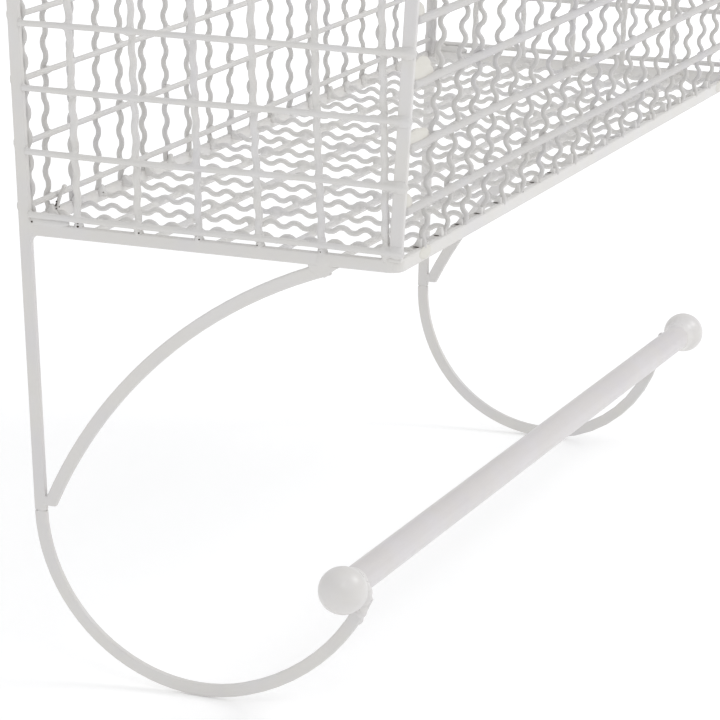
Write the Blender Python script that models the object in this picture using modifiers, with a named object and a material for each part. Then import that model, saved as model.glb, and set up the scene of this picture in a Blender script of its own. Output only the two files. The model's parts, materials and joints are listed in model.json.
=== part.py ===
"""Wire wall basket with a towel rail: painted flat bar, welded wire mesh and a round rail.

Sizes are in metres, +Z up. The rear faces lie on the wall plane Y = 0, +X runs along the basket and
the room is at -Y. Z = 0 is the centre line of the bottom rails. Both ends flare outward and the front
leans forward, so each end and the front have an empty that carries their tilt.
"""
import math

import bmesh
import bpy
from mathutils import Matrix

# Flat bar of the frame, on edge
BAR_WIDTH = 0.0066
BAR_THICK = 0.0032
BAR_ROUND = 0.0008           # corner radius of the painted bar
GAP = 0.0003                 # clearance between pieces that are welded together
TILT_GAP = 0.0006            # the same, beside a piece that leans

# Basket
LENGTH = 0.5255              # between the centre planes of the two ends, at the bottom rails
DEPTH = 0.1981               # from the back posts' centre line to the front rail's
RIM_Z = 0.1666               # centre line of the top rails
END_FLARE = math.radians(3.5)
FRONT_LEAN = math.radians(4.87)
CORNER_RADIUS = 0.005        # bend of the rails, at their centre line

# Mesh
WIRE = 0.0024
LEVEL_COUNT = 5

# Lowest level wire of each panel and the pitch above it: the panels were welded up one by one
END_LEVELS = (0.0076, 0.0318)
BACK_LEVELS = (0.0106, 0.0318)
FRONT_LEVELS = (0.0292, 0.0305)

CROSS_SPACES = 20            # crimped wires divide the length into this many spaces
END_WIRE_START = 0.0295      # first upright of an end, from the back post's centre line
END_WIRE_PITCH = 0.0325
END_WIRE_COUNT = 6
FLOOR_SPACES = 6             # the floor's long wires divide the depth into this many spaces

# Supports under the basket
POST_DROP = 0.1483           # lower end of the back posts
BRACE_CENTRE = (-0.2544, -0.2617)
BRACE_RADIUS = 0.2721
BRACE_SWEEP = (22.0, 71.0)   # degrees, from the back post to the end rail
BRACE_FOOT_Z = -0.1450       # blunt lower end, just above the foot of the post
TRIM = 0.04                  # size of the blocks that trim the braces

# Each hook is bent by hand: radius and turn in degrees from the post, then radius and turn of its tip
HOOK_BENDS = {"left": (0.0850, 108.0, 0.1127, 47.0), "right": (0.0854, 90.0, 0.0740, 84.0)}

# Towel rail
RAIL_RADIUS = 0.0076
RAIL_Y = -0.1720
RAIL_Z = -0.1655
BALL_RADIUS = 0.0121
BALL_X = {"left": -0.25965, "right": 0.27325}

# Hanger tabs on the top back rail
TAB_X = 0.225
TAB_WIDTH = 0.016
TAB_HEIGHT = 0.022
TAB_THICK = 0.0024
TAB_HOLE_RADIUS = 0.0032

POST_Y = -BAR_WIDTH / 2
CORNER_SETBACK = CORNER_RADIUS / 4   # front posts stand this far behind the front rail's centre plane
WELD_MERGE = 1e-6                    # joins the caps of a bar to its sides
FRONT_Y = POST_Y - DEPTH
HALF = LENGTH / 2
RIM_HALF = HALF + RIM_Z * math.tan(END_FLARE)
RIM_FRONT_Y = FRONT_Y - RIM_Z * math.tan(FRONT_LEAN)
FOOT_Z = BAR_WIDTH / 2 + GAP
MESH_TOP_Z = RIM_Z - FOOT_Z
SIGN = {"left": -1, "right": 1}
UPRIGHT_PLANE = (math.pi / 2, 0.0, math.pi / 2)   # local X, Y, Z become world Y, Z, X
FACING_PLANE = (math.pi / 2, 0.0, 0.0)            # local X, Y, Z become world X, Z, -Y


def new_collection(name):
    collection = bpy.data.collections.new(name)
    bpy.context.scene.collection.children.link(collection)
    return collection


def clear_scene():
    for obj in list(bpy.data.objects):
        bpy.data.objects.remove(obj)


clear_scene()
PARTS = new_collection("wire_wall_basket")
TOOLS = new_collection("cutters")


def enamel(name, grey, roughness):
    """Off-white paint, slightly warm."""
    material = bpy.data.materials.new(name + "_enamel")
    material.use_nodes = True
    shader = material.node_tree.nodes["Principled BSDF"]
    shader.inputs["Base Color"].default_value = (grey, grey * 0.99, grey * 0.97, 1.0)
    shader.inputs["Roughness"].default_value = roughness
    shader.inputs["Metallic"].default_value = 0.0
    return material


def add_part(obj, parent=None, grey=0.78, roughness=0.32):
    PARTS.objects.link(obj)
    obj.parent = parent
    obj.data.materials.clear()
    obj.data.materials.append(enamel(obj.name, grey, roughness))
    return obj


def add_tool(obj, parent=None):
    TOOLS.objects.link(obj)
    obj.parent = parent
    obj.hide_render = True
    obj.display_type = "WIRE"
    return obj


def empty(name, location, rotation):
    obj = bpy.data.objects.new(name, None)
    PARTS.objects.link(obj)
    obj.location = location
    obj.rotation_euler = rotation
    return obj


def box(name, size, location, rotation=(0.0, 0.0, 0.0)):
    mesh = bpy.data.meshes.new(name)
    shape = bmesh.new()
    bmesh.ops.create_cube(shape, size=1.0)
    bmesh.ops.scale(shape, vec=size, verts=shape.verts)
    shape.to_mesh(mesh)
    shape.free()
    obj = bpy.data.objects.new(name, mesh)
    obj.location = location
    obj.rotation_euler = rotation
    return obj


def rod(name, radius, length, location, sides=32):
    """A round rod along X."""
    mesh = bpy.data.meshes.new(name)
    shape = bmesh.new()
    bmesh.ops.create_cone(
        shape, cap_ends=True, segments=sides, radius1=radius, radius2=radius, depth=length
    )
    bmesh.ops.rotate(shape, verts=shape.verts, matrix=Matrix.Rotation(math.pi / 2, 3, "Y"))
    shape.to_mesh(mesh)
    shape.free()
    obj = bpy.data.objects.new(name, mesh)
    obj.location = location
    return obj


def soften(obj, width, segments=2):
    """Rounded edges, and smooth shading between them."""
    bevel = obj.modifiers.new("rounded_edges", "BEVEL")
    bevel.width = width
    bevel.segments = segments
    bevel.limit_method = "ANGLE"
    bevel.angle_limit = math.radians(40)
    obj.data.shade_smooth()
    obj.data.set_sharp_from_angle(angle=math.radians(40))


def polyline(curve, points, closed):
    spline = curve.splines.new("POLY")
    spline.points.add(len(points) - 1)
    for target, point in zip(spline.points, points):
        target.co = (point[0], point[1], 0.0, 1.0)
    spline.use_cyclic_u = closed


def flat_outline(name, loops, thickness):
    """A plate bounded by closed loops in its local XY plane; the loops after the first are holes."""
    curve = bpy.data.curves.new(name, "CURVE")
    curve.dimensions = "2D"
    curve.fill_mode = "BOTH"
    curve.extrude = thickness / 2
    for loop in loops:
        polyline(curve, loop, closed=True)
    return bpy.data.objects.new(name, curve)


def arc(centre, radius, start, end, steps):
    """Points on a circle from start to end, in degrees."""
    points = []
    for step in range(steps + 1):
        angle = math.radians(start + (end - start) * step / steps)
        points.append((centre[0] + radius * math.cos(angle), centre[1] + radius * math.sin(angle)))
    return points


def section(name, across, normal):
    """Rounded flat-bar section: its size across the path, and its size along the path plane's normal."""
    curve = bpy.data.curves.new(name, "CURVE")
    curve.dimensions = "2D"
    loop = []
    for corner, (side, top) in enumerate(((1, 1), (-1, 1), (-1, -1), (1, -1))):
        centre = (side * (across / 2 - BAR_ROUND), top * (normal / 2 - BAR_ROUND))
        loop += arc(centre, BAR_ROUND, 90 * corner, 90 * corner + 90, 2)
    polyline(curve, loop, closed=True)
    return add_tool(bpy.data.objects.new(name, curve))


def bent_bar(name, path, profile, rotation, parent=None, z=0.0):
    """A bar of the given section along a path in its local XY plane, made a mesh."""
    curve = bpy.data.curves.new(name, "CURVE")
    curve.dimensions = "2D"
    curve.fill_mode = "NONE"
    curve.bevel_mode = "OBJECT"
    curve.bevel_object = profile
    curve.use_fill_caps = True
    polyline(curve, path, closed=False)
    guide = bpy.data.objects.new(name + "_guide", curve)
    PARTS.objects.link(guide)
    depsgraph = bpy.context.evaluated_depsgraph_get()
    mesh = bpy.data.meshes.new_from_object(guide.evaluated_get(depsgraph))
    bpy.data.objects.remove(guide)
    shape = bmesh.new()
    shape.from_mesh(mesh)
    bmesh.ops.remove_doubles(shape, verts=shape.verts, dist=WELD_MERGE)
    bmesh.ops.recalc_face_normals(shape, faces=shape.faces)
    shape.to_mesh(mesh)
    shape.free()
    mesh.shade_smooth()
    mesh.set_sharp_from_angle(angle=math.radians(50))
    obj = bpy.data.objects.new(name, mesh)
    obj.location = (0.0, 0.0, z)
    obj.rotation_euler = rotation
    return add_part(obj, parent)


def cut(obj, tool):
    boolean = obj.modifiers.new("fit_to_" + tool.name, "BOOLEAN")
    boolean.operation = "DIFFERENCE"
    boolean.solver = "EXACT"
    boolean.object = tool


def stubs(lines, inner, reach):
    """One side of a wire grid: every wire across it runs from the inner edge out to reach(position)."""
    points = []
    for line in lines:
        low = line - WIRE / 2
        high = line + WIRE / 2
        points += [(low, inner), (low, reach(line)), (high, reach(line)), (high, inner)]
    return points


def wire_grid(name, columns, rows, left, right, bottom, top):
    """A welded grid as a plate with square holes; its wire ends reach the frame around it.

    left and right give the reach of a row at its height; bottom and top are the reach of all columns.
    """
    half = WIRE / 2
    sides = stubs(columns, rows[0] - half, lambda x: bottom)
    sides += [(x, y) for y, x in stubs(rows, columns[-1] + half, right)]
    sides += stubs(columns, rows[-1] + half, lambda x: top)[::-1]
    sides += [(x, y) for y, x in stubs(rows, columns[0] - half, left)][::-1]
    loops = [sides]
    for x0, x1 in zip(columns, columns[1:]):
        for y0, y1 in zip(rows, rows[1:]):
            low = (x0 + half, y0 + half)
            high = (x1 - half, y1 - half)
            loops.append([low, (low[0], high[1]), high, (high[0], low[1])])
    return flat_outline(name, loops, WIRE)


def levels(panel):
    first, pitch = panel
    return [first + pitch * row for row in range(LEVEL_COUNT)]


def cross_wires():
    pitch = LENGTH / CROSS_SPACES
    return [-HALF + pitch * space for space in range(1, CROSS_SPACES)]


def hoop(name, half, front, z):
    """Front rail and both end rails, bent from one bar that butts on the back posts."""
    end = -BAR_WIDTH - GAP
    path = [(-half, end)]
    path += arc((-half + CORNER_RADIUS, front + CORNER_RADIUS), CORNER_RADIUS, 180, 270, 6)
    path += arc((half - CORNER_RADIUS, front + CORNER_RADIUS), CORNER_RADIUS, 270, 360, 6)
    path.append((half, end))
    return bent_bar(name, path, RAIL_SECTION, (0.0, 0.0, 0.0), z=z)


def back_rail(name, half, z):
    """Straight rail between the back posts, its rear face on the wall plane."""
    length = 2 * (half - BAR_THICK / 2 - TILT_GAP)
    rail = box(name, (length, BAR_THICK, BAR_WIDTH), (0.0, -BAR_THICK / 2, z))
    soften(rail, BAR_ROUND)
    return add_part(rail)


def back_post(side, frame):
    top = RIM_Z + BAR_WIDTH / 2
    size = (BAR_THICK, BAR_WIDTH, top + POST_DROP)
    post = box(side + "_back_post", size, (0.0, POST_Y, (top - POST_DROP) / 2))
    soften(post, BAR_ROUND)
    return add_part(post, frame)


def front_post(side, frame):
    """Corner upright from the bottom rail to the top rail, leaning with the front."""
    height = (MESH_TOP_Z - FOOT_Z - TILT_GAP) / math.cos(FRONT_LEAN)
    middle = (MESH_TOP_Z + FOOT_Z) / 2
    y = FRONT_Y + CORNER_SETBACK - middle * math.tan(FRONT_LEAN)
    size = (BAR_THICK, BAR_WIDTH, height)
    post = box(side + "_front_post", size, (0.0, y, middle), (FRONT_LEAN, 0.0, 0.0))
    soften(post, BAR_ROUND)
    return add_part(post, frame)


def end_mesh(side, frame):
    columns = [POST_Y - END_WIRE_START - END_WIRE_PITCH * wire for wire in range(END_WIRE_COUNT)][::-1]
    front_face = FRONT_Y + CORNER_SETBACK + BAR_WIDTH / 2 + TILT_GAP
    grid = wire_grid(side + "_end_mesh", columns, levels(END_LEVELS),
                     lambda z: front_face - z * math.tan(FRONT_LEAN), lambda z: -BAR_WIDTH - GAP,
                     FOOT_Z + GAP, MESH_TOP_Z - GAP)
    grid.rotation_euler = UPRIGHT_PLANE
    return add_part(grid, frame, grey=0.76)


def back_mesh():
    reach = HALF - BAR_THICK / 2 - TILT_GAP
    grid = wire_grid("back_mesh", cross_wires(), levels(BACK_LEVELS),
                     lambda z: -reach - z * math.tan(END_FLARE), lambda z: reach + z * math.tan(END_FLARE),
                     FOOT_Z, MESH_TOP_Z)
    grid.rotation_euler = FACING_PLANE
    grid.location = (0.0, -BAR_THICK / 2, 0.0)
    return add_part(grid, grey=0.76)


def front_mesh(frame):
    reach = HALF - BAR_THICK / 2 - TILT_GAP
    grid = wire_grid("front_mesh", cross_wires(), levels(FRONT_LEVELS),
                     lambda z: -reach - z * math.tan(END_FLARE), lambda z: reach + z * math.tan(END_FLARE),
                     FOOT_Z + GAP, MESH_TOP_Z - GAP)
    grid.rotation_euler = FACING_PLANE
    return add_part(grid, frame, grey=0.76)


def floor_mesh():
    """Floor grid inside the bottom rails."""
    back = -BAR_THICK - GAP
    front = FRONT_Y + BAR_THICK / 2 + GAP
    pitch = DEPTH / FLOOR_SPACES
    rows = [POST_Y - pitch * space for space in range(1, FLOOR_SPACES)][::-1]
    side = HALF - BAR_THICK / 2 - GAP
    grid = wire_grid("floor_mesh", cross_wires(), rows, lambda y: -side, lambda y: side, front, back)
    return add_part(grid, grey=0.76)


def brace(side, frame):
    """Curved strut from the foot of the back post to the end rail, trimmed flush against both."""
    path = arc(BRACE_CENTRE, BRACE_RADIUS, BRACE_SWEEP[0], BRACE_SWEEP[1], 24)
    strut = bent_bar(side + "_brace", path, STRAP_SECTION, UPRIGHT_PLANE, frame)
    depth = TRIM / 2
    reach = 2 * (POST_DROP + TRIM)
    post_side = box(side + "_post_trim", (depth, TRIM, reach), (0.0, TRIM / 2 - BAR_WIDTH - GAP, 0.0))
    rail_side = box(side + "_rail_trim", (depth, 2 * DEPTH, TRIM), (0.0, FRONT_Y, TRIM / 2 - FOOT_Z - GAP))
    foot = box(side + "_foot_trim", (depth, TRIM, TRIM), (0.0, -BAR_WIDTH, BRACE_FOOT_Z - TRIM / 2))
    for tool in (post_side, rail_side, foot):
        cut(strut, add_tool(tool, frame))
    return strut


def hook(side, frame):
    """Strap from the foot of the back post round under the towel rail, coped to the rail."""
    radius, turn, tip_radius, tip_turn = HOOK_BENDS[side]
    centre = (POST_Y - radius, -POST_DROP - GAP)
    path = arc(centre, radius, 0, -turn, 24)
    angle = math.radians(-turn)
    shift = radius - tip_radius
    tip_centre = (centre[0] + shift * math.cos(angle), centre[1] + shift * math.sin(angle))
    path += arc(tip_centre, tip_radius, -turn, -turn - tip_turn, 10)[1:]
    strap = bent_bar(side + "_hook", path, STRAP_SECTION, UPRIGHT_PLANE, frame)
    cut(strap, RAIL_CUTTER)
    cut(strap, ball_cutter(side))
    return strap


def ball_cutter(side):
    mesh = bpy.data.meshes.new(side + "_ball_cutter")
    shape = bmesh.new()
    bmesh.ops.create_uvsphere(shape, u_segments=32, v_segments=16, radius=BALL_RADIUS + GAP)
    shape.to_mesh(mesh)
    shape.free()
    tool = bpy.data.objects.new(side + "_ball_cutter", mesh)
    tool.location = (BALL_X[side], RAIL_Y, RAIL_Z)
    return add_tool(tool)


def towel_rail():
    seat = math.sqrt(BALL_RADIUS ** 2 - RAIL_RADIUS ** 2) + GAP
    low = BALL_X["left"] + seat
    high = BALL_X["right"] - seat
    bar = rod("towel_rail", RAIL_RADIUS, high - low, ((low + high) / 2, RAIL_Y, RAIL_Z))
    return add_part(bar, grey=0.8)


def ball(side):
    """End ball, turned with a flat seat for the rail's end."""
    mesh = bpy.data.meshes.new(side + "_ball")
    shape = bmesh.new()
    seat = math.degrees(math.acos(RAIL_RADIUS / BALL_RADIUS))
    outline = [(0.0, BALL_RADIUS * math.sin(math.radians(seat)))]
    outline += arc((0.0, 0.0), BALL_RADIUS, seat, -90, 14)
    outline[-1] = (0.0, -BALL_RADIUS)
    verts = [shape.verts.new((x, 0.0, z)) for x, z in outline]
    for first, second in zip(verts, verts[1:]):
        shape.edges.new((first, second))
    shape.to_mesh(mesh)
    shape.free()
    obj = bpy.data.objects.new(side + "_ball", mesh)
    obj.location = (BALL_X[side], RAIL_Y, RAIL_Z)
    obj.rotation_euler = (0.0, -SIGN[side] * math.pi / 2, 0.0)
    screw = obj.modifiers.new("turned", "SCREW")
    screw.axis = "Z"
    screw.steps = 32
    screw.render_steps = 32
    screw.use_merge_vertices = True
    screw.merge_threshold = WELD_MERGE
    screw.use_smooth_shade = True
    return add_part(obj, grey=0.8)


def hanger_tab(side):
    """Flat tab with a screw hole, standing on the top back rail against the wall."""
    radius = TAB_WIDTH / 2
    foot = RIM_Z + FOOT_Z
    eye = (0.0, foot + TAB_HEIGHT - radius)
    plate = [(-radius, foot), (radius, foot)] + arc(eye, radius, 0, 180, 12)
    hole = arc(eye, TAB_HOLE_RADIUS, 360, 0, 16)[:-1]
    tab = flat_outline(side + "_hanger_tab", [plate, hole], TAB_THICK)
    tab.rotation_euler = FACING_PLANE
    tab.location = (SIGN[side] * TAB_X, -TAB_THICK / 2, 0.0)
    return add_part(tab)


RAIL_SECTION = section("rail_section", BAR_THICK, BAR_WIDTH)
STRAP_SECTION = section("strap_section", BAR_WIDTH, BAR_THICK)
RAIL_CUTTER = add_tool(rod("rail_cutter", RAIL_RADIUS + GAP, 2 * LENGTH, (0.0, RAIL_Y, RAIL_Z)))

hoop("bottom_hoop", HALF, FRONT_Y, 0.0)
hoop("top_hoop", RIM_HALF, RIM_FRONT_Y, RIM_Z)
back_rail("bottom_back_rail", HALF, 0.0)
back_rail("top_back_rail", RIM_HALF, RIM_Z)
floor_mesh()
back_mesh()
front_mesh(empty("front_lean", (0.0, FRONT_Y, 0.0), (FRONT_LEAN, 0.0, 0.0)))
towel_rail()
for side_name in ("left", "right"):
    sign = SIGN[side_name]
    end_frame = empty(side_name + "_end", (sign * HALF, 0.0, 0.0), (0.0, sign * END_FLARE, 0.0))
    back_post(side_name, end_frame)
    front_post(side_name, end_frame)
    end_mesh(side_name, end_frame)
    brace(side_name, end_frame)
    hook(side_name, end_frame)
    ball(side_name)
    hanger_tab(side_name)
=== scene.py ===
"""Wire wall basket with a towel rail, dressed over its fixed frame.

The frame holds the bars, the towel rail and its balls. This script adds the woven wires in place of the
flat mesh panels, the weld beads and paint runs at the joints, the enamel, and the studio around it.
"""
import json
import math
import random

import bpy
from mathutils import Matrix, Vector


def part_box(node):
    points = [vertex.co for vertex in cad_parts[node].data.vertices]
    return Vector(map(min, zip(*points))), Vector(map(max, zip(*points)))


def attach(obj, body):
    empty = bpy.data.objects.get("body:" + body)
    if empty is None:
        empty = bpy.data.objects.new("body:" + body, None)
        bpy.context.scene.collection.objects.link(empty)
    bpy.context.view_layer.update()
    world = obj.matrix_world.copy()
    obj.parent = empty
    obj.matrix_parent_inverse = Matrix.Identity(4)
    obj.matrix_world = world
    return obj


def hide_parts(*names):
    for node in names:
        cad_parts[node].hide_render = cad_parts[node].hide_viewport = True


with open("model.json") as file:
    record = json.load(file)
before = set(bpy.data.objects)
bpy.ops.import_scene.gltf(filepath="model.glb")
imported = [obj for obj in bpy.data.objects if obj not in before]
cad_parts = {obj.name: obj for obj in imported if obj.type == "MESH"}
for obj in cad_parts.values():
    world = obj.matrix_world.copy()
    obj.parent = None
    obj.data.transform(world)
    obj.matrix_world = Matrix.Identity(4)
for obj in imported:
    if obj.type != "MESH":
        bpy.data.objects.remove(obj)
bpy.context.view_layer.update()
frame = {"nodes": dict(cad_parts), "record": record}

# Flat bar of the frame
BAR_WIDTH = 0.0066
BAR_THICK = 0.0032

# Wires, with their paint: radii, and how far the crimped ones wave to each side
END_LEVEL_RADIUS = 0.00155
END_UPRIGHT_RADIUS = 0.00180
BACK_LEVEL_RADIUS = 0.00150
BACK_CRIMP_RADIUS = 0.00145
FRONT_LEVEL_RADIUS = 0.00205
FRONT_CRIMP_RADIUS = 0.00130
FLOOR_LONG_RADIUS = 0.00180
FLOOR_CRIMP_RADIUS = 0.00140
END_CRIMP = 0.0008
BACK_CRIMP = 0.0010
FRONT_CRIMP = 0.0016
FLOOR_CRIMP = 0.0013
CRIMP_PERIOD = 0.0127
POINTS_PER_CRIMP = 10
PAINT_VOXEL = 0.00065
PAINT_ROUNDS = 3
SHRINK = 0.00010             # what the smoothing takes off a radius

# How far each panel's level wires lie outside its plane, and the front crimped wires' shift along the rail
FRONT_OUT = 0.0016
BACK_OUT = 0.0020
FRONT_SHIFT = 0.0040
CRIMP_SINK = 0.001           # the crimped wires run this far into the rails

# Floor: the crimped wires lie over the plane of the rails' centres, the straight ones under it
FLOOR_OVER = 0.0014
FLOOR_UNDER = 0.0010

# Weld between the near ball and its hook's tip: places as (y, z) in the end plane, and half sizes
TIP_WELD = (
    (-0.1770, -0.1812), (-0.1786, -0.1776), (-0.1800, -0.1745),
    (-0.1812, -0.1708), (-0.1815, -0.1672), (-0.1808, -0.1640),
)
TIP_WELD_SIZES = (
    (0.0017, 0.0030, 0.0040), (0.0026, 0.0031, 0.0038), (0.0036, 0.0030, 0.0034),
    (0.0040, 0.0034, 0.0034), (0.0040, 0.0032, 0.0032), (0.0034, 0.0024, 0.0028),
)
BRACE_NOSE_Y = -0.1640       # where each brace's front corner meets the end rail

# Half sizes of the lumps of weld and paint where wires meet bars and each other
BACK_POST_BEAD = (0.0013, 0.0017, 0.0024)
FRONT_POST_BEADS = ((-0.0026, (0.0015, 0.0048, 0.0036)), (0.0020, (0.0016, 0.0044, 0.0030)))
END_CROSSING_BEAD = (0.0018, 0.0025, 0.0025)
END_FOOT_BEAD = (0.0017, 0.0026, 0.0014)
PANEL_FOOT_BEAD = (0.0021, 0.0015, 0.0014)
FLOOR_CROSSING_BEAD = (0.0036, 0.0034, 0.0022)
RAIL_WELD_BEAD = (0.0031, 0.0024, 0.0024)
BRACE_DRIP = (0.0009, 0.0042, 0.0044)
RAIL_PATCH = (0.0085, 0.0009, 0.0036)
PAINT_BUILD = 0.0008         # a crossing's lump is this much thicker than its level wire

# Coats over the joints: a fine one for welded bars, a coarser one for lumps on the wires
WELD_VOXEL = 0.0004
WELD_ROUNDS = 5
LUMP_VOXEL = 0.0005
LUMP_ROUNDS = 3
BALL_ROUNDS = 9
STUB_ROUNDS = 2

# Paint filling the corners between bars
WELD_SKIN = BAR_THICK + 0.0003
FILLET_BELOW = 0.0038
FILLET_ABOVE = 0.0024
FILLET_CORNER = 0.0016

# Weld on the towel rail, in degrees round it: 0 is towards the wall, and 90 is up
RAIL_WELD_SPAN = {"left": (-165, -100), "right": (-70, 25)}
RAIL_WELD_STEP = 12

# The fillet between ball and rail: distance from the ball's seat, and height over the rail
BALL_FILLET = (
    (-0.0040, 0.0), (-0.0022, 0.0020), (-0.0008, 0.0014),
    (0.0008, 0.0009), (0.0026, 0.0005), (0.0050, 0.00012),
)
BALL_ROWS = 40
BALL_SIDES = 48
COLLAR_SIDES = 40

# Webs of weld in the corners of the bottom rails: rise, reach and width
BACK_WEB = (0.0058, 0.0062, 0.0032)
FRONT_WEB = (0.0062, 0.0066, 0.0036)

# Creamy patches beside the front posts: the long ones sit on two rows of level wires
LONG_PATCH = 0.0125
SHORT_PATCH = 0.0050
LONG_PATCH_ROWS = (1, 2)
TALL_PATCH = 0.0066
LOW_PATCH = 0.0046
TALL_PATCH_ROW = 2

# Stub of tie wire: its place beside the first crossing, its bends from its foot, and its radii
STUB_SHIFT = 0.0022
STUB_BENDS = ((0.0006, -0.0010, 0.0040), (0.0016, -0.0022, 0.0085), (0.0030, -0.0034, 0.0120))
STUB_RADII = (0.0013, 0.0011, 0.0010, 0.0010)
STUB_SPOTS = 7

# Bare spots: how many crossings from the near end have cracks and pinholes
CRACKED_FEET = 8
SPOTTED_FEET = 14
SPOT_SIZE = 0.00042

# Lowest level wire of each panel, and the pitch above it
LEVEL_COUNT = 5
END_LEVELS = [0.0076 + 0.0318 * row for row in range(LEVEL_COUNT)]
BACK_LEVELS = [0.0106 + 0.0318 * row for row in range(LEVEL_COUNT)]
FRONT_LEVELS = [0.0266 + 0.0305 * row for row in range(LEVEL_COUNT)]
CROSS_SPACES = 20
UPRIGHT_START = 0.0295
UPRIGHT_PITCH = 0.0325
UPRIGHT_COUNT = 6
FLOOR_SPACES = 6

# Studio: the floor glows more far from the object; each lamp has a name, a place, a size and its watts
FLOOR_SIZE = 24
FLOOR_GLOW_START = 0.5
FLOOR_GLOW_END = 1.9
FLOOR_GLOW_NEAR = 0.13
FLOOR_GLOW_FAR = 0.32
AIR_LIGHT = 0.78
LAMPS = (
    ("right_light", (1.0, -1.9, 1.7), 1.0, 16.0),
    ("left_light", (-1.9, -1.2, 1.9), 1.0, 6.0),
    ("top_light", (-0.2, -0.3, 2.4), 1.8, 5.0),
)

# Camera
CAMERA_SPOT = (-1.6514, -0.7814, 0.3692)
CAMERA_HEADING = math.radians(23.34)   # from +X towards +Y
CAMERA_PITCH = math.radians(15.40)     # below level
CAMERA_ROLL = math.radians(0.16)
CAMERA_LENS = 165.4
CAMERA_SENSOR = 36.0

hoop_low, hoop_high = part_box("bottom_hoop")
rim_low, rim_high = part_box("top_hoop")
rail_low, rail_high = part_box("towel_rail")
RAIL_RADIUS = (rail_high.z - rail_low.z) / 2
RAIL_Y = (rail_low.y + rail_high.y) / 2
RAIL_Z = (rail_low.z + rail_high.z) / 2
HALF = hoop_high.x - BAR_THICK / 2
FRONT_Y = hoop_low.y + BAR_THICK / 2
RIM_Z = (rim_low.z + rim_high.z) / 2
FLARE = (rim_high.x - hoop_high.x) / RIM_Z
LEAN = (hoop_low.y - rim_low.y) / RIM_Z
POST_Y = -BAR_WIDTH / 2
BACK_Y = -BAR_THICK / 2
FOOT_Z = hoop_high.z
TOP_Z = rim_low.z
CROSS_PITCH = 2 * HALF / CROSS_SPACES
CROSS_X = [-HALF + CROSS_PITCH * space for space in range(1, CROSS_SPACES)]
UPRIGHT_Y = [POST_Y - UPRIGHT_START - UPRIGHT_PITCH * wire for wire in range(UPRIGHT_COUNT)]
SIDES = {"left": -1, "right": 1}


# ---------------------------------------------------------------- places on the panels

def on_end(side, y, z, out=0.0):
    """A point of an end's leaning plane, moved outward."""
    return Vector((SIDES[side] * (HALF + z * FLARE + out), y, z))


def on_front(x, z, out=0.0):
    """A point of the front's leaning plane, moved outward."""
    return Vector((x, FRONT_Y - z * LEAN - out, z))


def on_back(x, z, out=0.0):
    """A point of the upright back plane, moved forward into the basket."""
    return Vector((x, BACK_Y - out, z))


# ---------------------------------------------------------------- materials

PATCH_SCALE = 26.0           # patches of tint, a few centimetres across
PATCH_DETAIL = 4.0
GREY_SHARE = (0.965, 0.962, 0.968)
WARM_SHARE = (0.99, 0.985, 0.955)
SHEEN_SCALE = 90.0           # patches of gloss
GLOSSIER = 0.06
DULLER = 0.10
PEEL_DETAIL = 3.0            # orange peel
PEEL_DEPTH = 0.0002
PEEL_RELIEF = 0.25
SMOOTH_RELIEF = 0.04         # the rail and its balls are smoother than the bars
RUST_SCALE = 900.0


def new_material(name):
    """A node material, with its nodes, links and Principled shader."""
    material = bpy.data.materials.new(name)
    material.use_nodes = True
    nodes = material.node_tree.nodes
    return material, nodes, material.node_tree.links, nodes["Principled BSDF"]


def shade(colour, share):
    """A colour with each of its channels scaled, as a node wants it."""
    return (colour[0] * share[0], colour[1] * share[1], colour[2] * share[2], 1)


def enamel(name, colour, rough, grain, relief=PEEL_RELIEF):
    """Brushed enamel: faint warm and grey patches, an uneven gloss and a fine orange peel."""
    material, nodes, links, shader = new_material(name)
    place = nodes.new("ShaderNodeTexCoord")

    patches = nodes.new("ShaderNodeTexNoise")
    patches.inputs["Scale"].default_value = PATCH_SCALE
    patches.inputs["Detail"].default_value = PATCH_DETAIL
    links.new(place.outputs["Object"], patches.inputs["Vector"])
    tint = nodes.new("ShaderNodeValToRGB")
    tint.color_ramp.elements[0].position = 0.32
    tint.color_ramp.elements[0].color = shade(colour, GREY_SHARE)
    tint.color_ramp.elements[1].position = 0.68
    tint.color_ramp.elements[1].color = (*colour, 1)
    warm = tint.color_ramp.elements.new(0.5)
    warm.color = shade(colour, WARM_SHARE)
    links.new(patches.outputs["Fac"], tint.inputs["Fac"])
    links.new(tint.outputs["Color"], shader.inputs["Base Color"])

    sheen = nodes.new("ShaderNodeTexNoise")
    sheen.inputs["Scale"].default_value = SHEEN_SCALE
    links.new(place.outputs["Object"], sheen.inputs["Vector"])
    gloss = nodes.new("ShaderNodeMapRange")
    gloss.inputs["To Min"].default_value = rough - GLOSSIER
    gloss.inputs["To Max"].default_value = rough + DULLER
    links.new(sheen.outputs["Fac"], gloss.inputs["Value"])
    links.new(gloss.outputs["Result"], shader.inputs["Roughness"])

    peel = nodes.new("ShaderNodeTexNoise")
    peel.inputs["Scale"].default_value = grain
    peel.inputs["Detail"].default_value = PEEL_DETAIL
    links.new(place.outputs["Object"], peel.inputs["Vector"])
    bump = nodes.new("ShaderNodeBump")
    bump.inputs["Strength"].default_value = relief
    bump.inputs["Distance"].default_value = PEEL_DEPTH
    links.new(peel.outputs["Fac"], bump.inputs["Height"])
    links.new(bump.outputs["Normal"], shader.inputs["Normal"])
    return material


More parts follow.
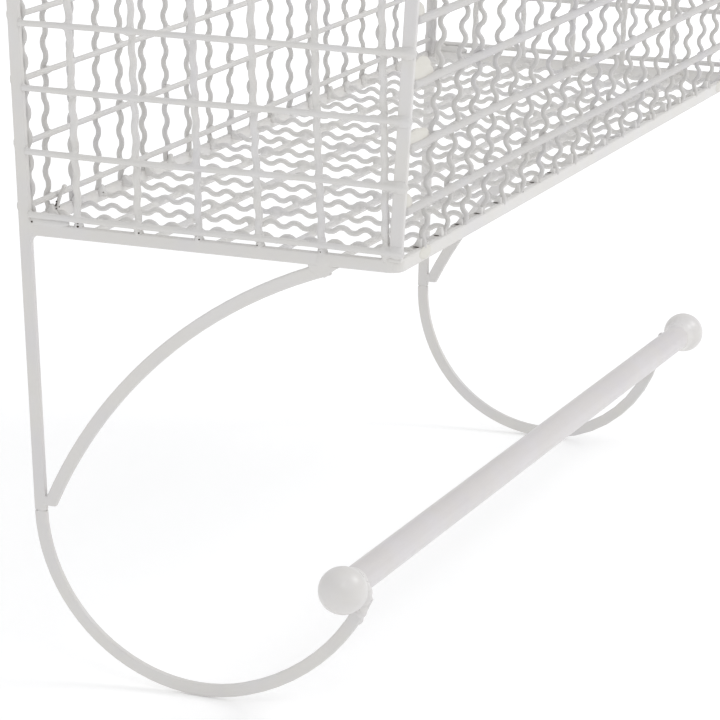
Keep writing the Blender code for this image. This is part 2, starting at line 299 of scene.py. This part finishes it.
def bare_steel(name):
    """Dark, rusty steel where the paint missed."""
    material, nodes, links, shader = new_material(name)
    place = nodes.new("ShaderNodeTexCoord")
    rust = nodes.new("ShaderNodeTexNoise")
    rust.inputs["Scale"].default_value = RUST_SCALE
    links.new(place.outputs["Object"], rust.inputs["Vector"])
    tint = nodes.new("ShaderNodeValToRGB")
    tint.color_ramp.elements[0].color = (0.012, 0.010, 0.009, 1)
    tint.color_ramp.elements[1].color = (0.075, 0.052, 0.036, 1)
    links.new(rust.outputs["Fac"], tint.inputs["Fac"])
    links.new(tint.outputs["Color"], shader.inputs["Base Color"])
    shader.inputs["Roughness"].default_value = 0.75
    return material


FRAME_PAINT = enamel("frame_enamel", (0.660, 0.648, 0.643), 0.38, 180.0)
WIRE_PAINT = enamel("wire_enamel", (0.655, 0.645, 0.642), 0.42, 400.0)
# Darker copy of the wire enamel: painted shade on the crimped wires, which sit behind the level wires and in
# the basket's own shade
SHADED_WIRE_PAINT = enamel("shaded_wire_enamel", (0.575, 0.565, 0.563), 0.42, 400.0)
# Darker, rougher copy of the wire enamel: painted shade that takes off the light the front level wires catch
SHADED_LEVEL_PAINT = enamel("shaded_level_enamel", (0.560, 0.550, 0.550), 0.50, 400.0)
CREAM_PAINT = enamel("cream_enamel", (0.640, 0.625, 0.590), 0.42, 250.0)
# The rail and its balls share one enamel in two copies: the rail's is darker, painted shade against the light
# it catches, and the balls' is lighter, painted light where they get less
SHADED_RAIL_PAINT = enamel("rail_enamel", (0.625, 0.602, 0.610), 0.30, 300.0, SMOOTH_RELIEF)
LIT_BALL_PAINT = enamel("lit_ball_enamel", (0.672, 0.656, 0.650), 0.28, 300.0, SMOOTH_RELIEF)
STEEL = bare_steel("bare_steel")


# ---------------------------------------------------------------- meshes of wires and beads

class Shape:
    """Points and faces gathered for one mesh."""

    def __init__(self):
        self.points = []
        self.faces = []

    def rings(self, rings):
        """Closed rings of equally many points, joined in order, the first and last ones capped."""
        start = len(self.points)
        count = len(rings[0])
        for ring in rings:
            self.points.extend(Vector(point) for point in ring)
        for row in range(len(rings) - 1):
            low = start + row * count
            for side in range(count):
                other = (side + 1) % count
                self.faces.append((low + side, low + other, low + count + other, low + count + side))
        last = start + (len(rings) - 1) * count
        self.faces.append(tuple(range(start + count - 1, start - 1, -1)))
        self.faces.append(tuple(range(last, last + count)))
        self.face_outward(len(self.faces) - 2 - (len(rings) - 1) * count)

    def face_outward(self, first):
        """Turn the faces from the given one on if they enclose their space inside out."""
        volume = 0.0
        for face in self.faces[first:]:
            anchor = self.points[face[0]]
            for near, far in zip(face[1:], face[2:]):
                volume += anchor.dot(self.points[near].cross(self.points[far]))
        if volume < 0:
            self.faces[first:] = [tuple(reversed(face)) for face in self.faces[first:]]

    def mesh(self, name):
        """A Blender mesh of the points and faces."""
        mesh = bpy.data.meshes.new(name)
        mesh.from_pydata([tuple(point) for point in self.points], [], self.faces)
        mesh.update()
        return mesh


def painted_mesh(shape, name, voxel=PAINT_VOXEL, rounds=PAINT_ROUNDS):
    """The shape under one coat of paint: its overlapping parts fused, and the inner corners filled."""
    rough = bpy.data.objects.new(name + "_bare", shape.mesh(name + "_bare"))
    bpy.context.scene.collection.objects.link(rough)
    fuse = rough.modifiers.new("fuse", "REMESH")
    fuse.mode = "VOXEL"
    fuse.voxel_size = voxel
    flow = rough.modifiers.new("flow", "SMOOTH")
    flow.factor = 0.5
    flow.iterations = rounds
    graph = bpy.context.evaluated_depsgraph_get()
    mesh = bpy.data.meshes.new_from_object(rough.evaluated_get(graph))
    bare = rough.data
    bpy.data.objects.remove(rough)
    bpy.data.meshes.remove(bare)
    mesh.name = name
    return mesh


def new_piece(name, mesh, material):
    """A visible piece with smooth shading. Everything is welded, so every piece rides the one body."""
    mesh.materials.clear()
    mesh.materials.append(material)
    mesh.shade_smooth()
    obj = bpy.data.objects.new(name, mesh)
    bpy.context.scene.collection.objects.link(obj)
    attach(obj, "root")
    return obj


def add_tube(shape, points, radii, sides=9):
    """A closed round tube through the points, with a rounded end at each end."""
    points = [Vector(point) for point in points]
    first = (points[1] - points[0]).normalized()
    last = (points[-1] - points[-2]).normalized()
    radii = list(radii)
    stations = [(points[0] - first * radii[0] * 0.45, radii[0] * 0.55)]
    stations += list(zip(points, radii))
    stations.append((points[-1] + last * radii[-1] * 0.45, radii[-1] * 0.55))
    across = first.orthogonal().normalized()
    rings = []
    for index, (centre, radius) in enumerate(stations):
        before = stations[max(index - 1, 0)][0]
        after = stations[min(index + 1, len(stations) - 1)][0]
        along = (after - before).normalized()
        across = (across - along * across.dot(along)).normalized()
        up = along.cross(across)
        turns = [math.tau * side / sides for side in range(sides)]
        rings.append([centre + (across * math.cos(turn) + up * math.sin(turn)) * radius for turn in turns])
    shape.rings(rings)


def add_bead(shape, centre, size, rng=None, sides=10):
    """A lump of weld and paint: an uneven ellipsoid with its own three radii."""
    rings = []
    centre = Vector(centre)
    rows = sides // 2 + 1
    for row in range(rows):
        lift = math.pi * (row + 0.25) / (rows - 0.5)
        ring = []
        for side in range(sides):
            angle = math.tau * side / sides
            swell = 1.0 + (rng.uniform(-0.05, 0.05) if rng else 0.0)
            point = Vector((math.cos(angle) * math.sin(lift) * size[0],
                            math.sin(angle) * math.sin(lift) * size[1],
                            -math.cos(lift) * size[2])) * swell
            ring.append(centre + point)
        rings.append(ring)
    shape.rings(rings)


def thickness(rng, count, radius, spread=0.05):
    """Paint builds up unevenly: the radius wanders slowly along the wire."""
    waves = [(rng.uniform(0.5, 4.5), rng.uniform(0, math.tau)) for _ in range(3)]
    result = []
    for index in range(count):
        place = math.tau * index / max(count - 1, 1)
        wander = sum(math.sin(rate * place + start) for rate, start in waves) / 3
        result.append((radius + SHRINK) * (1.0 + spread * wander))
    return result


def crimped(rng, start, end, wave, bow, depth):
    """Points of a crimped wire from start to end, waving along one direction and bowed along another."""
    start, end = Vector(start), Vector(end)
    length = (end - start).length
    count = max(6, round(length / CRIMP_PERIOD * POINTS_PER_CRIMP))
    phase = rng.uniform(0, math.tau)
    period = CRIMP_PERIOD * rng.uniform(0.98, 1.02)
    depth = depth * rng.uniform(0.88, 1.1)
    belly = rng.uniform(-0.0009, 0.0009)
    points = []
    for index in range(count + 1):
        share = index / count
        angle = math.tau * share * length / period + phase
        swing = math.sin(angle) + 0.10 * math.sin(3 * angle)
        calm = min(1.0, 0.35 + min(share, 1 - share) * length / CRIMP_PERIOD)
        offset = Vector(wave) * depth * swing * calm + Vector(bow) * belly * math.sin(math.pi * share)
        points.append(start.lerp(end, share) + offset)
    return points


def straight(rng, start, end, steps=24, wander=0.0004):
    """A level wire, hand-straightened, so it keeps a slight wander."""
    start, end = Vector(start), Vector(end)
    waves = [(rng.uniform(1.0, 3.0), rng.uniform(0, math.tau), rng.uniform(0.3, 1.0)) for _ in range(2)]
    points = []
    for index in range(steps + 1):
        share = index / steps
        lift = sum(size * math.sin(math.pi * rate * share + turn) for rate, turn, size in waves)
        rise = wander * lift * math.sin(math.pi * share) ** 0.5
        points.append(start.lerp(end, share) + Vector((0, 0, rise)))
    return points


def add_crimped(shape, rng, start, end, wave, bow, depth, radius):
    """A crimped wire whose paint is uneven."""
    points = crimped(rng, start, end, wave, bow, depth)
    add_tube(shape, points, thickness(rng, len(points), radius))


def add_level(shape, rng, start, end, radius):
    """A nearly straight wire whose paint is uneven."""
    points = straight(rng, start, end)
    add_tube(shape, points, thickness(rng, len(points), radius, 0.04))


# ---------------------------------------------------------------- the five panels

def end_panel(side, seed):
    """Crimped uprights between the rails, with level wires welded across their outer face."""
    rng = random.Random(seed)
    outward = (SIDES[side], 0, 0)
    wires = Shape()
    for y in UPRIGHT_Y:
        lean = rng.uniform(-0.0012, 0.0012)
        foot = on_end(side, y, FOOT_Z - CRIMP_SINK)
        top = on_end(side, y + lean, TOP_Z + CRIMP_SINK)
        add_crimped(wires, rng, foot, top, outward, (0, 1, 0), END_CRIMP, END_UPRIGHT_RADIUS)
    reach = BAR_THICK / 2 + END_LEVEL_RADIUS * 0.85
    for z in END_LEVELS:
        tilt = rng.uniform(-0.0006, 0.0006)
        back = -BAR_WIDTH - END_LEVEL_RADIUS * 0.3
        front = FRONT_Y - z * LEAN + BAR_WIDTH * 0.55
        corner = FRONT_Y - z * LEAN - BAR_WIDTH * 0.30
        add_level(wires, rng, on_end(side, back, z, reach * 0.75), on_end(side, front, z + tilt, reach),
                  END_LEVEL_RADIUS)
        level = z + tilt
        tail = [on_end(side, front + 0.001, level, reach)]
        tail.append(on_end(side, front - 0.002, level, reach * 0.9))
        tail.append(on_end(side, corner, level, reach * 0.62))
        add_tube(wires, tail, [END_LEVEL_RADIUS] * 3)
        on_post = BAR_THICK * 0.42
        add_bead(wires, on_end(side, -BAR_WIDTH, z, BAR_THICK * 0.25), BACK_POST_BEAD, rng=rng)
        for shift, size in FRONT_POST_BEADS:
            add_bead(wires, on_end(side, front + shift, level, on_post), size, rng=rng)
        for y in UPRIGHT_Y:
            add_bead(wires, on_end(side, y, z, reach * 0.62), END_CROSSING_BEAD, rng=rng)
    for y in UPRIGHT_Y:
        add_bead(wires, on_end(side, y, FOOT_Z), END_FOOT_BEAD, rng=rng)
    name = side + "_end_wires"
    piece = new_piece(name, painted_mesh(wires, name), WIRE_PAINT)
    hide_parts(side + "_end_mesh")


def long_panel(name, seed, place, levels, out, sizes, paint, shift=0.0):
    """Front or back panel: crimped wires between the rails, level wires over their front face."""
    crimp_radius, level_radius, depth = sizes
    rng = random.Random(seed)
    crimps = Shape()
    for x in CROSS_X:
        base = x + shift + rng.uniform(-0.0008, 0.0008)
        lean = rng.uniform(-0.0022, 0.0022)
        foot = place(base, FOOT_Z - CRIMP_SINK)
        top = place(base + lean, TOP_Z + CRIMP_SINK)
        add_crimped(crimps, rng, foot, top, (0, 1, 0), (1, 0, 0), depth, crimp_radius)
        add_bead(crimps, place(base, FOOT_Z), PANEL_FOOT_BEAD, rng=rng)
    rails = Shape()
    for z in levels:
        half = HALF + z * FLARE - BAR_THICK / 2
        add_level(rails, rng, place(-half, z, out), place(half, z, out), level_radius)
        bead = level_radius + PAINT_BUILD
        for x in CROSS_X:
            add_bead(rails, place(x + shift, z, out * 0.6), (bead * 1.15, bead * 0.85, bead), rng=rng)
    crimp_name = name + "_crimped_wires"
    # The crimped wires take the darker enamel, painted shade
    piece = new_piece(crimp_name, painted_mesh(crimps, crimp_name), SHADED_WIRE_PAINT)
    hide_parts(name + "_mesh")
    level_name = name + "_level_wires"
    new_piece(level_name, painted_mesh(rails, level_name), paint)


def corner_wires(seed):
    """The back panel's outermost crimped wires, tucked against the inner faces of the back posts."""
    rng = random.Random(seed)
    for side in SIDES:
        wires = Shape()
        inward = -BAR_THICK / 2 - BACK_CRIMP_RADIUS
        y = -BAR_WIDTH + 0.0009
        foot = on_end(side, y, FOOT_Z - CRIMP_SINK, inward)
        top = on_end(side, y, TOP_Z + CRIMP_SINK, inward)
        add_crimped(wires, rng, foot, top, (0, 1, 0), (1, 0, 0), BACK_CRIMP, BACK_CRIMP_RADIUS)
        name = side + "_corner_wire"
        # The corner wires take the darker enamel, painted shade for the crevice beside the back posts
        new_piece(name, painted_mesh(wires, name, LUMP_VOXEL), SHADED_WIRE_PAINT)


def floor_panel(seed):
    """Floor: crimped wires from back rail to front rail over straight wires along the basket."""
    rng = random.Random(seed)
    wires = Shape()
    back = -BAR_THICK * 0.6
    front = FRONT_Y + BAR_THICK * 0.3
    pitch = (POST_Y - FRONT_Y) / FLOOR_SPACES
    rows = [POST_Y - pitch * space for space in range(1, FLOOR_SPACES)]
    for x in CROSS_X:
        base = x + rng.uniform(-0.001, 0.001)
        turn = rng.uniform(-0.003, 0.003)
        add_crimped(wires, rng, (base, back, FLOOR_OVER), (base + turn, front, FLOOR_OVER),
                    (0, 0, 1), (1, 0, 0), FLOOR_CRIMP, FLOOR_CRIMP_RADIUS)
        for y in rows:
            x_here = base + turn * (back - y) / (back - front)
            add_bead(wires, (x_here, y, 0.0002), FLOOR_CROSSING_BEAD, rng=rng)
    for y in rows:
        far_y = y + rng.uniform(-0.001, 0.001)
        add_level(wires, rng, (-HALF, y, -FLOOR_UNDER), (HALF, far_y, -FLOOR_UNDER), FLOOR_LONG_RADIUS)
    piece = new_piece("floor_wires", painted_mesh(wires, "floor_wires"), WIRE_PAINT)
    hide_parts("floor_mesh")


# ---------------------------------------------------------------- welds, paint runs and bare spots

def add_block(shape, centre, size, turn=None):
    """A block with its corners cut, a stretch of painted bar or a weld seam."""
    rings = []
    half = Vector(size) / 2
    cut = min(half.x, half.y, half.z) * 0.45
    outline = []
    for corner, (right, top) in enumerate(((1, 1), (-1, 1), (-1, -1), (1, -1))):
        near = (right * half.x, top * (half.y - cut))
        far = (right * (half.x - cut), top * half.y)
        outline += [near, far] if corner % 2 == 0 else [far, near]
    for z, inset in ((-half.z, 0.75), (-half.z + cut, 1.0), (half.z - cut, 1.0), (half.z, 0.75)):
        ring = []
        for x, y in outline:
            point = Vector((x * inset, y * inset, z))
            ring.append(Vector(centre) + (turn @ point if turn is not None else point))
        rings.append(ring)
    shape.rings(rings)


def add_fillet(shape, corner, first, second, across, size, width):
    """A concave wedge of paint filling the corner between two bars."""
    corner, first, second, across = Vector(corner), Vector(first), Vector(second), Vector(across)
    outline = [corner - (first + second) * 0.0012]
    outline.append(corner + first * size - second * 0.0012)
    steps = 5
    for step in range(steps + 1):
        angle = math.pi / 2 * step / steps
        outline.append(corner + first * size * (1 - math.sin(angle)) + second * size * (1 - math.cos(angle)))
    outline.append(corner + second * size - first * 0.0012)
    rings = [[point + across * width * share for point in outline] for share in (-0.5, 0.5)]
    shape.rings(rings)


def weld_piece(name, shape, paint=FRAME_PAINT, voxel=WELD_VOXEL, rounds=WELD_ROUNDS):
    """A piece of weld and paint, fused like the wires but with a finer coat."""
    return new_piece(name, painted_mesh(shape, name, voxel, rounds), paint)


def end_turn(side):
    """The lean of an end's plane as a rotation."""
    return Matrix.Rotation(SIDES[side] * math.atan(FLARE), 3, "Y")


def joint_welds(side, seed):
    """The joints of one end's bars, fused by weld and paint."""
    rng = random.Random(seed)
    turn = end_turn(side)
    skin = WELD_SKIN
    across = (SIDES[side], 0, 0)

    rail_joint = Shape()
    for z in (0.0, RIM_Z):
        add_block(rail_joint, on_end(side, -BAR_WIDTH - 0.0002, z), (skin, 0.0030, BAR_WIDTH + 0.0002), turn)
        add_fillet(rail_joint, on_end(side, -BAR_WIDTH, z - BAR_WIDTH / 2), (0, -1, 0), (0, 0, -1), across,
                   FILLET_BELOW, BAR_THICK)
        add_fillet(rail_joint, on_end(side, -BAR_WIDTH, z + BAR_WIDTH / 2), (0, -1, 0), (0, 0, 1), across,
                   FILLET_ABOVE, BAR_THICK)
    weld_piece(side + "_rail_welds", rail_joint)

    corner_joint = Shape()
    for z, rise in ((FOOT_Z, 1), (TOP_Z, -1)):
        y = FRONT_Y - z * LEAN + 0.00125
        add_block(corner_joint, on_end(side, y, z), (skin, BAR_WIDTH, 0.0024), turn)
        add_fillet(corner_joint, on_end(side, y + BAR_WIDTH / 2, z), (0, 1, 0), (0, 0, rise), across,
                   FILLET_CORNER, BAR_THICK * 0.95)
    weld_piece(side + "_corner_welds", corner_joint)

    foot_joint = Shape()
    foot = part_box(side + "_back_post")[0].z
    add_block(foot_joint, on_end(side, -BAR_WIDTH, foot + 0.0058), (skin, 0.0026, 0.0050), turn)
    cap = on_end(side, POST_Y - 0.0004, foot - 0.0002, -0.0001)
    add_block(foot_joint, cap, (BAR_THICK, BAR_WIDTH * 0.72, 0.0022), turn)
    weld_piece(side + "_foot_welds", foot_joint)

    brace_joint = Shape()
    nose = BRACE_NOSE_Y
    add_block(brace_joint, on_end(side, nose + 0.0040, -BAR_WIDTH / 2 - 0.0003), (skin, 0.0090, 0.0026), turn)
    outline = [(nose + 0.0085, -0.0040), (nose + 0.0070, -0.0068), (nose + 0.0012, -0.0088),
               (nose - 0.0002, -0.0090), (nose - 0.0016, -0.0078), (nose - 0.0040, -0.0056),
               (nose - 0.0078, -0.0032), (nose, -0.0026)]
    faces = [[on_end(side, y, z, share * skin / 2) for y, z in outline] for share in (-1, 1)]
    brace_joint.rings(faces)
    drip = on_end(side, nose + 0.0004, -0.0006, BAR_THICK * 0.40)
    add_bead(brace_joint, drip, BRACE_DRIP, rng=rng)
    weld_piece(side + "_brace_welds", brace_joint)


def rail_end(side, seed):
    """The end ball in one coat of paint with the weld round its seat and over the hook's tip."""
    rng = random.Random(seed)
    ball_low, ball_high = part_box(side + "_ball")
    radius = (ball_high.z - ball_low.z) / 2
    outer = SIDES[side]
    centre = Vector((ball_high.x - radius if outer > 0 else ball_low.x + radius, RAIL_Y, RAIL_Z))
    knob = Shape()
    rings = []
    for row in range(1, BALL_ROWS):
        angle = math.pi * row / BALL_ROWS
        ring = []
        for step in range(BALL_SIDES):
            turn = math.tau * step / BALL_SIDES
            uneven = 1 + 0.006 * math.sin(2 * turn + 1.3) * math.sin(angle) + 0.004 * math.cos(5 * angle)
            swell = radius * uneven
            ring.append(centre + Vector((math.cos(angle), math.sin(angle) * math.cos(turn),
                                         math.sin(angle) * math.sin(turn))) * swell)
        rings.append(ring)
    knob.rings(rings)
    seat = math.sqrt(radius ** 2 - RAIL_RADIUS ** 2)
    collar = []
    for along, proud in BALL_FILLET:
        reach = RAIL_RADIUS + proud
        inward = -outer * (seat + along)
        ring = []
        for step in range(COLLAR_SIDES):
            turn = math.tau * step / COLLAR_SIDES
            ring.append(centre + Vector((inward, reach * math.cos(turn), reach * math.sin(turn))))
        collar.append(ring)
    knob.rings(collar)
    if side == "left":
        for point, size in zip(TIP_WELD, TIP_WELD_SIZES):
            add_bead(knob, on_end(side, point[0], point[1]), size, rng=rng, sides=12)
    # The ball takes the lighter copy of the rail enamel, painted light
    piece = weld_piece(side + "_rail_end", knob, LIT_BALL_PAINT, LUMP_VOXEL, BALL_ROUNDS)
    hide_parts(side + "_ball")


def tip_weld(side, seed):
    """Weld and paint where the hook's tip lies against the towel rail."""
    rng = random.Random(seed)
    weld = Shape()
    hook_x = SIDES[side] * (HALF + RAIL_Z * FLARE)
    first, last = RAIL_WELD_SPAN[side]
    for angle in range(first, last, RAIL_WELD_STEP):
        around = math.radians(angle)
        spot = (hook_x, RAIL_Y + math.cos(around) * RAIL_RADIUS, RAIL_Z + math.sin(around) * RAIL_RADIUS)
        add_bead(weld, spot, RAIL_WELD_BEAD, rng=rng)
    # The tip weld takes the rail's darker copy of the enamel, painted shade
    weld_piece(side + "_tip_weld", weld, SHADED_RAIL_PAINT)


def corner_patches(seed):
    """Thick, slightly creamy paint where the front level wires reach the front posts."""
    rng = random.Random(seed)
    for side in SIDES:
        patches = Shape()
        for row, z in enumerate(FRONT_LEVELS):
            reach = LONG_PATCH if row in LONG_PATCH_ROWS else SHORT_PATCH
            inner = HALF + z * FLARE - reach * 0.9
            tall = TALL_PATCH if row == TALL_PATCH_ROW else LOW_PATCH
            middle = on_front(SIDES[side] * inner, z + tall - 0.0010, 0.0006)
            add_bead(patches, middle, (reach, 0.0014, tall), rng=rng)
            add_bead(patches, on_front(SIDES[side] * (inner - reach * 0.5), z + 0.0030, 0.0004),
                     (reach * 0.8, 0.0013, 0.0040), rng=rng)
        on_rail = on_front(SIDES[side] * (HALF - 0.0300), 0.0006, BAR_THICK * 0.42)
        add_bead(patches, on_rail, RAIL_PATCH, rng=rng)
        weld_piece(side + "_corner_patches", patches, CREAM_PAINT, LUMP_VOXEL, LUMP_ROUNDS)


def post_runs(seed):
    """Paint gathered where the level wires end, bulging past the rear edge of each back post."""
    rng = random.Random(seed)
    for side in SIDES:
        runs = Shape()
        for z in BACK_LEVELS:
            add_bead(runs, on_end(side, -0.0007, z + 0.0005), (0.0019, 0.0016, 0.0033), rng=rng)
            add_bead(runs, on_end(side, -0.0030, z - 0.0012), (0.00172, 0.0030, 0.0022), rng=rng)
        weld_piece(side + "_post_runs", runs)


def add_web(shape, rng, corner, inward, rise, reach, width):
    """Weld and paint drawn across the corner where a floor wire meets an upright one."""
    corner, inward = Vector(corner), Vector(inward)
    up = Vector((0, 0, 1))
    reach = reach * rng.uniform(0.6, 1.1)
    rise = rise * rng.uniform(0.6, 1.15)
    outline = [
        corner - inward * 0.0012 - up * 0.0006,
        corner + inward * reach - up * 0.0006,
        corner + inward * reach * 0.93 + up * 0.0010,
        corner + inward * reach * 0.42 + up * rise * 0.50,
        corner + inward * reach * 0.14 + up * rise,
        corner - inward * 0.0010 + up * rise,
    ]
    skew = rng.uniform(-0.0008, 0.0008)
    rings = []
    for share in (-0.5, 0.5):
        ring = []
        for point in outline:
            slide = width * share + skew * (point.z - corner.z) / rise
            ring.append(point + Vector((slide, 0, 0)))
        rings.append(ring)
    shape.rings(rings)


def rail_nuggets(seed):
    """Lumps and webs of weld on the bottom rails where the crimped wires meet them."""
    rng = random.Random(seed)
    back = Shape()
    for x in CROSS_X:
        width = rng.uniform(0.0032, 0.0046) if rng.random() < 0.45 else rng.uniform(0.0021, 0.0030)
        spot = (x + rng.uniform(-0.0006, 0.0006), -BAR_THICK - 0.0004, rng.uniform(0.0016, 0.0030))
        add_bead(back, spot, (width, 0.0024, width * 0.85), rng=rng)
        add_web(back, rng, (x, -BAR_THICK - 0.0006, 0.0006), (0, -1, 0), *BACK_WEB)
    weld_piece("back_rail_nuggets", back, WIRE_PAINT, LUMP_VOXEL, LUMP_ROUNDS)
    front = Shape()
    for x in CROSS_X:
        foot = (x + 0.0024, FRONT_Y + 0.0004, FOOT_Z - 0.0018)
        add_web(front, rng, foot, (0, 1, 0), *FRONT_WEB)
        width = rng.uniform(0.0020, 0.0030)
        spot = (x + 0.0030, FRONT_Y + BAR_THICK * 0.4, FOOT_Z + 0.0002)
        add_bead(front, spot, (width, 0.0015, width * 0.8), rng=rng)
    weld_piece("front_rail_nuggets", front, WIRE_PAINT, LUMP_VOXEL, LUMP_ROUNDS)
    ends = Shape()
    for side in SIDES:
        for y in UPRIGHT_Y:
            size = rng.uniform(0.0014, 0.0022)
            add_bead(ends, on_end(side, y, FOOT_Z + 0.0004, -0.0006), (0.0014, size * 1.4, size), rng=rng)
        add_bead(ends, on_end(side, -0.0180, 0.0043, 0.0004), (0.0015, 0.0110, 0.0030), rng=rng)
        add_bead(ends, on_end(side, -0.0100, 0.0048, 0.0004), (0.0015, 0.0044, 0.0036), rng=rng)
    weld_piece("end_rail_nuggets", ends, WIRE_PAINT, LUMP_VOXEL, LUMP_ROUNDS)


def stray_stub():
    """The bent, half-painted end of a snipped tie wire on the back rail."""
    stub = Shape()
    base = Vector((CROSS_X[0] + STUB_SHIFT, -BAR_THICK - 0.0012, FOOT_Z - 0.0008))
    path = [base] + [base + Vector(step) for step in STUB_BENDS]
    add_tube(stub, path, STUB_RADII)
    add_bead(stub, path[-1] + Vector((0.0002, -0.0002, 0.0003)), (0.0017, 0.0013, 0.0012))
    weld_piece("tie_wire_stub", stub, WIRE_PAINT, WELD_VOXEL, STUB_ROUNDS)


def bare_spots(seed):
    """Pinholes in the paint at the feet of the wires."""
    rng = random.Random(seed)
    holes = Shape()

    def spot(place, size=SPOT_SIZE):
        scale = rng.uniform(0.7, 1.25)
        add_bead(holes, place, (size * scale, size * scale * rng.uniform(0.8, 1.5), size * scale), sides=6)

    for y in UPRIGHT_Y:
        spot(on_end("left", y + rng.uniform(-0.0012, 0.0012), FOOT_Z + 0.0004, BAR_THICK / 2))
        low = END_LEVELS[0] - 0.0019
        spot(on_end("left", y + rng.uniform(-0.0014, 0.0014), low, END_UPRIGHT_RADIUS + 0.0006))
    for x in CROSS_X[:CRACKED_FEET]:
        if rng.random() < 0.70:
            crack = Vector((x + 0.0003, FRONT_Y + rng.uniform(0.0018, 0.0026), FOOT_Z + 0.0002))
            add_bead(holes, crack, (0.00024, rng.uniform(0.0012, 0.0022), 0.00026), sides=6)
    for x in CROSS_X[:SPOTTED_FEET]:
        if rng.random() < 0.45:
            spot((x + FRONT_SHIFT, FRONT_Y - 0.0013, FOOT_Z + 0.0001), 0.00036)
        if rng.random() < 0.55:
            spot((x + rng.uniform(-0.0018, 0.0018), -BAR_THICK - 0.0022, rng.uniform(0.0010, 0.0032)))
    spot(on_end("left", -BAR_WIDTH - 0.0012, FOOT_Z + 0.0006, BAR_THICK / 2), 0.00062)
    base = Vector((CROSS_X[0] + STUB_SHIFT, -BAR_THICK - 0.0026, FOOT_Z))
    for _ in range(STUB_SPOTS):
        across = rng.uniform(-0.0022, 0.0012)
        deep = rng.uniform(-0.0006, 0.0002)
        up = rng.uniform(-0.001, 0.0046)
        spot(base + Vector((across, deep, up)))
    new_piece("bare_spots", holes.mesh("bare_spots"), STEEL)


# ---------------------------------------------------------------- frame and studio

def paint_frame():
    """Every part of the frame keeps its own shape and takes its slot's enamel."""
    for name, node in frame["nodes"].items():
        slot = next(row["material_slot"] for row in frame["record"]["subparts"] if row["node"] == name)
        # The rail slot takes the darker copy of the rail enamel, painted shade
        paint = {"frame_enamel": FRAME_PAINT, "wire_enamel": WIRE_PAINT, "rail_enamel": SHADED_RAIL_PAINT}[slot]
        node.data.materials.clear()
        node.data.materials.append(paint)


def studio():
    """A pale floor that glows a little, more where the lamps fall off, soft air and three soft lamps."""
    floor_z = min(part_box("left_hook")[0].z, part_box("right_hook")[0].z)
    bpy.ops.mesh.primitive_grid_add(x_subdivisions=4, y_subdivisions=4, size=FLOOR_SIZE,
                                    location=(0, 0, floor_z))
    floor = bpy.context.object
    floor.name = "studio_floor"
    material, nodes, links, shader = new_material("studio_white")
    shader.inputs["Base Color"].default_value = (0.95, 0.95, 0.95, 1)
    shader.inputs["Roughness"].default_value = 0.9
    shader.inputs["Emission Color"].default_value = (1, 1, 1, 1)
    spot = nodes.new("ShaderNodeTexCoord")
    reach = nodes.new("ShaderNodeVectorMath")
    reach.operation = "LENGTH"
    glow = nodes.new("ShaderNodeMapRange")
    glow.inputs["From Min"].default_value = FLOOR_GLOW_START
    glow.inputs["From Max"].default_value = FLOOR_GLOW_END
    glow.inputs["To Min"].default_value = FLOOR_GLOW_NEAR
    glow.inputs["To Max"].default_value = FLOOR_GLOW_FAR
    links.new(spot.outputs["Object"], reach.inputs[0])
    links.new(reach.outputs["Value"], glow.inputs["Value"])
    links.new(glow.outputs["Result"], shader.inputs["Emission Strength"])
    floor.data.materials.append(material)

    world = bpy.data.worlds.new("studio_air")
    world.use_nodes = True
    world.node_tree.nodes["Background"].inputs["Color"].default_value = (0.985, 0.99, 1.0, 1)
    world.node_tree.nodes["Background"].inputs["Strength"].default_value = AIR_LIGHT
    bpy.context.scene.world = world
    bpy.context.scene.view_settings.view_transform = "Standard"

    for name, spot, size, power in LAMPS:
        light = bpy.data.lights.new(name, "AREA")
        light.size = size
        light.energy = power
        lamp = bpy.data.objects.new(name, light)
        lamp.location = spot
        lamp.rotation_euler = (-Vector(spot)).to_track_quat("-Z", "Y").to_euler()
        bpy.context.scene.collection.objects.link(lamp)


def camera():
    """A long lens from beyond the left end, looking slightly down along the basket."""
    data = bpy.data.cameras.new("photo_camera")
    data.lens = CAMERA_LENS
    data.sensor_width = CAMERA_SENSOR
    eye = bpy.data.objects.new("photo_camera", data)
    turn = Matrix.Rotation(CAMERA_HEADING - math.pi / 2, 4, "Z")
    turn @= Matrix.Rotation(math.pi / 2 - CAMERA_PITCH, 4, "X")
    turn @= Matrix.Rotation(CAMERA_ROLL, 4, "Z")
    eye.matrix_world = Matrix.Translation(CAMERA_SPOT) @ turn
    bpy.context.scene.collection.objects.link(eye)
    bpy.context.scene.camera = eye


paint_frame()
end_panel("left", 11)
end_panel("right", 12)
FRONT_SIZES = (FRONT_CRIMP_RADIUS, FRONT_LEVEL_RADIUS, FRONT_CRIMP)
BACK_SIZES = (BACK_CRIMP_RADIUS, BACK_LEVEL_RADIUS, BACK_CRIMP)
# The front level wires take the darker enamel, painted shade
long_panel("front", 13, on_front, FRONT_LEVELS, FRONT_OUT, FRONT_SIZES, SHADED_LEVEL_PAINT, FRONT_SHIFT)
long_panel("back", 14, on_back, BACK_LEVELS, BACK_OUT, BACK_SIZES, WIRE_PAINT)
corner_wires(16)
floor_panel(15)
joint_welds("left", 21)
joint_welds("right", 22)
post_runs(23)
rail_nuggets(24)
rail_end("left", 31)
rail_end("right", 32)
tip_weld("left", 33)
tip_weld("right", 34)
corner_patches(35)
stray_stub()
bare_spots(25)
studio()
camera()
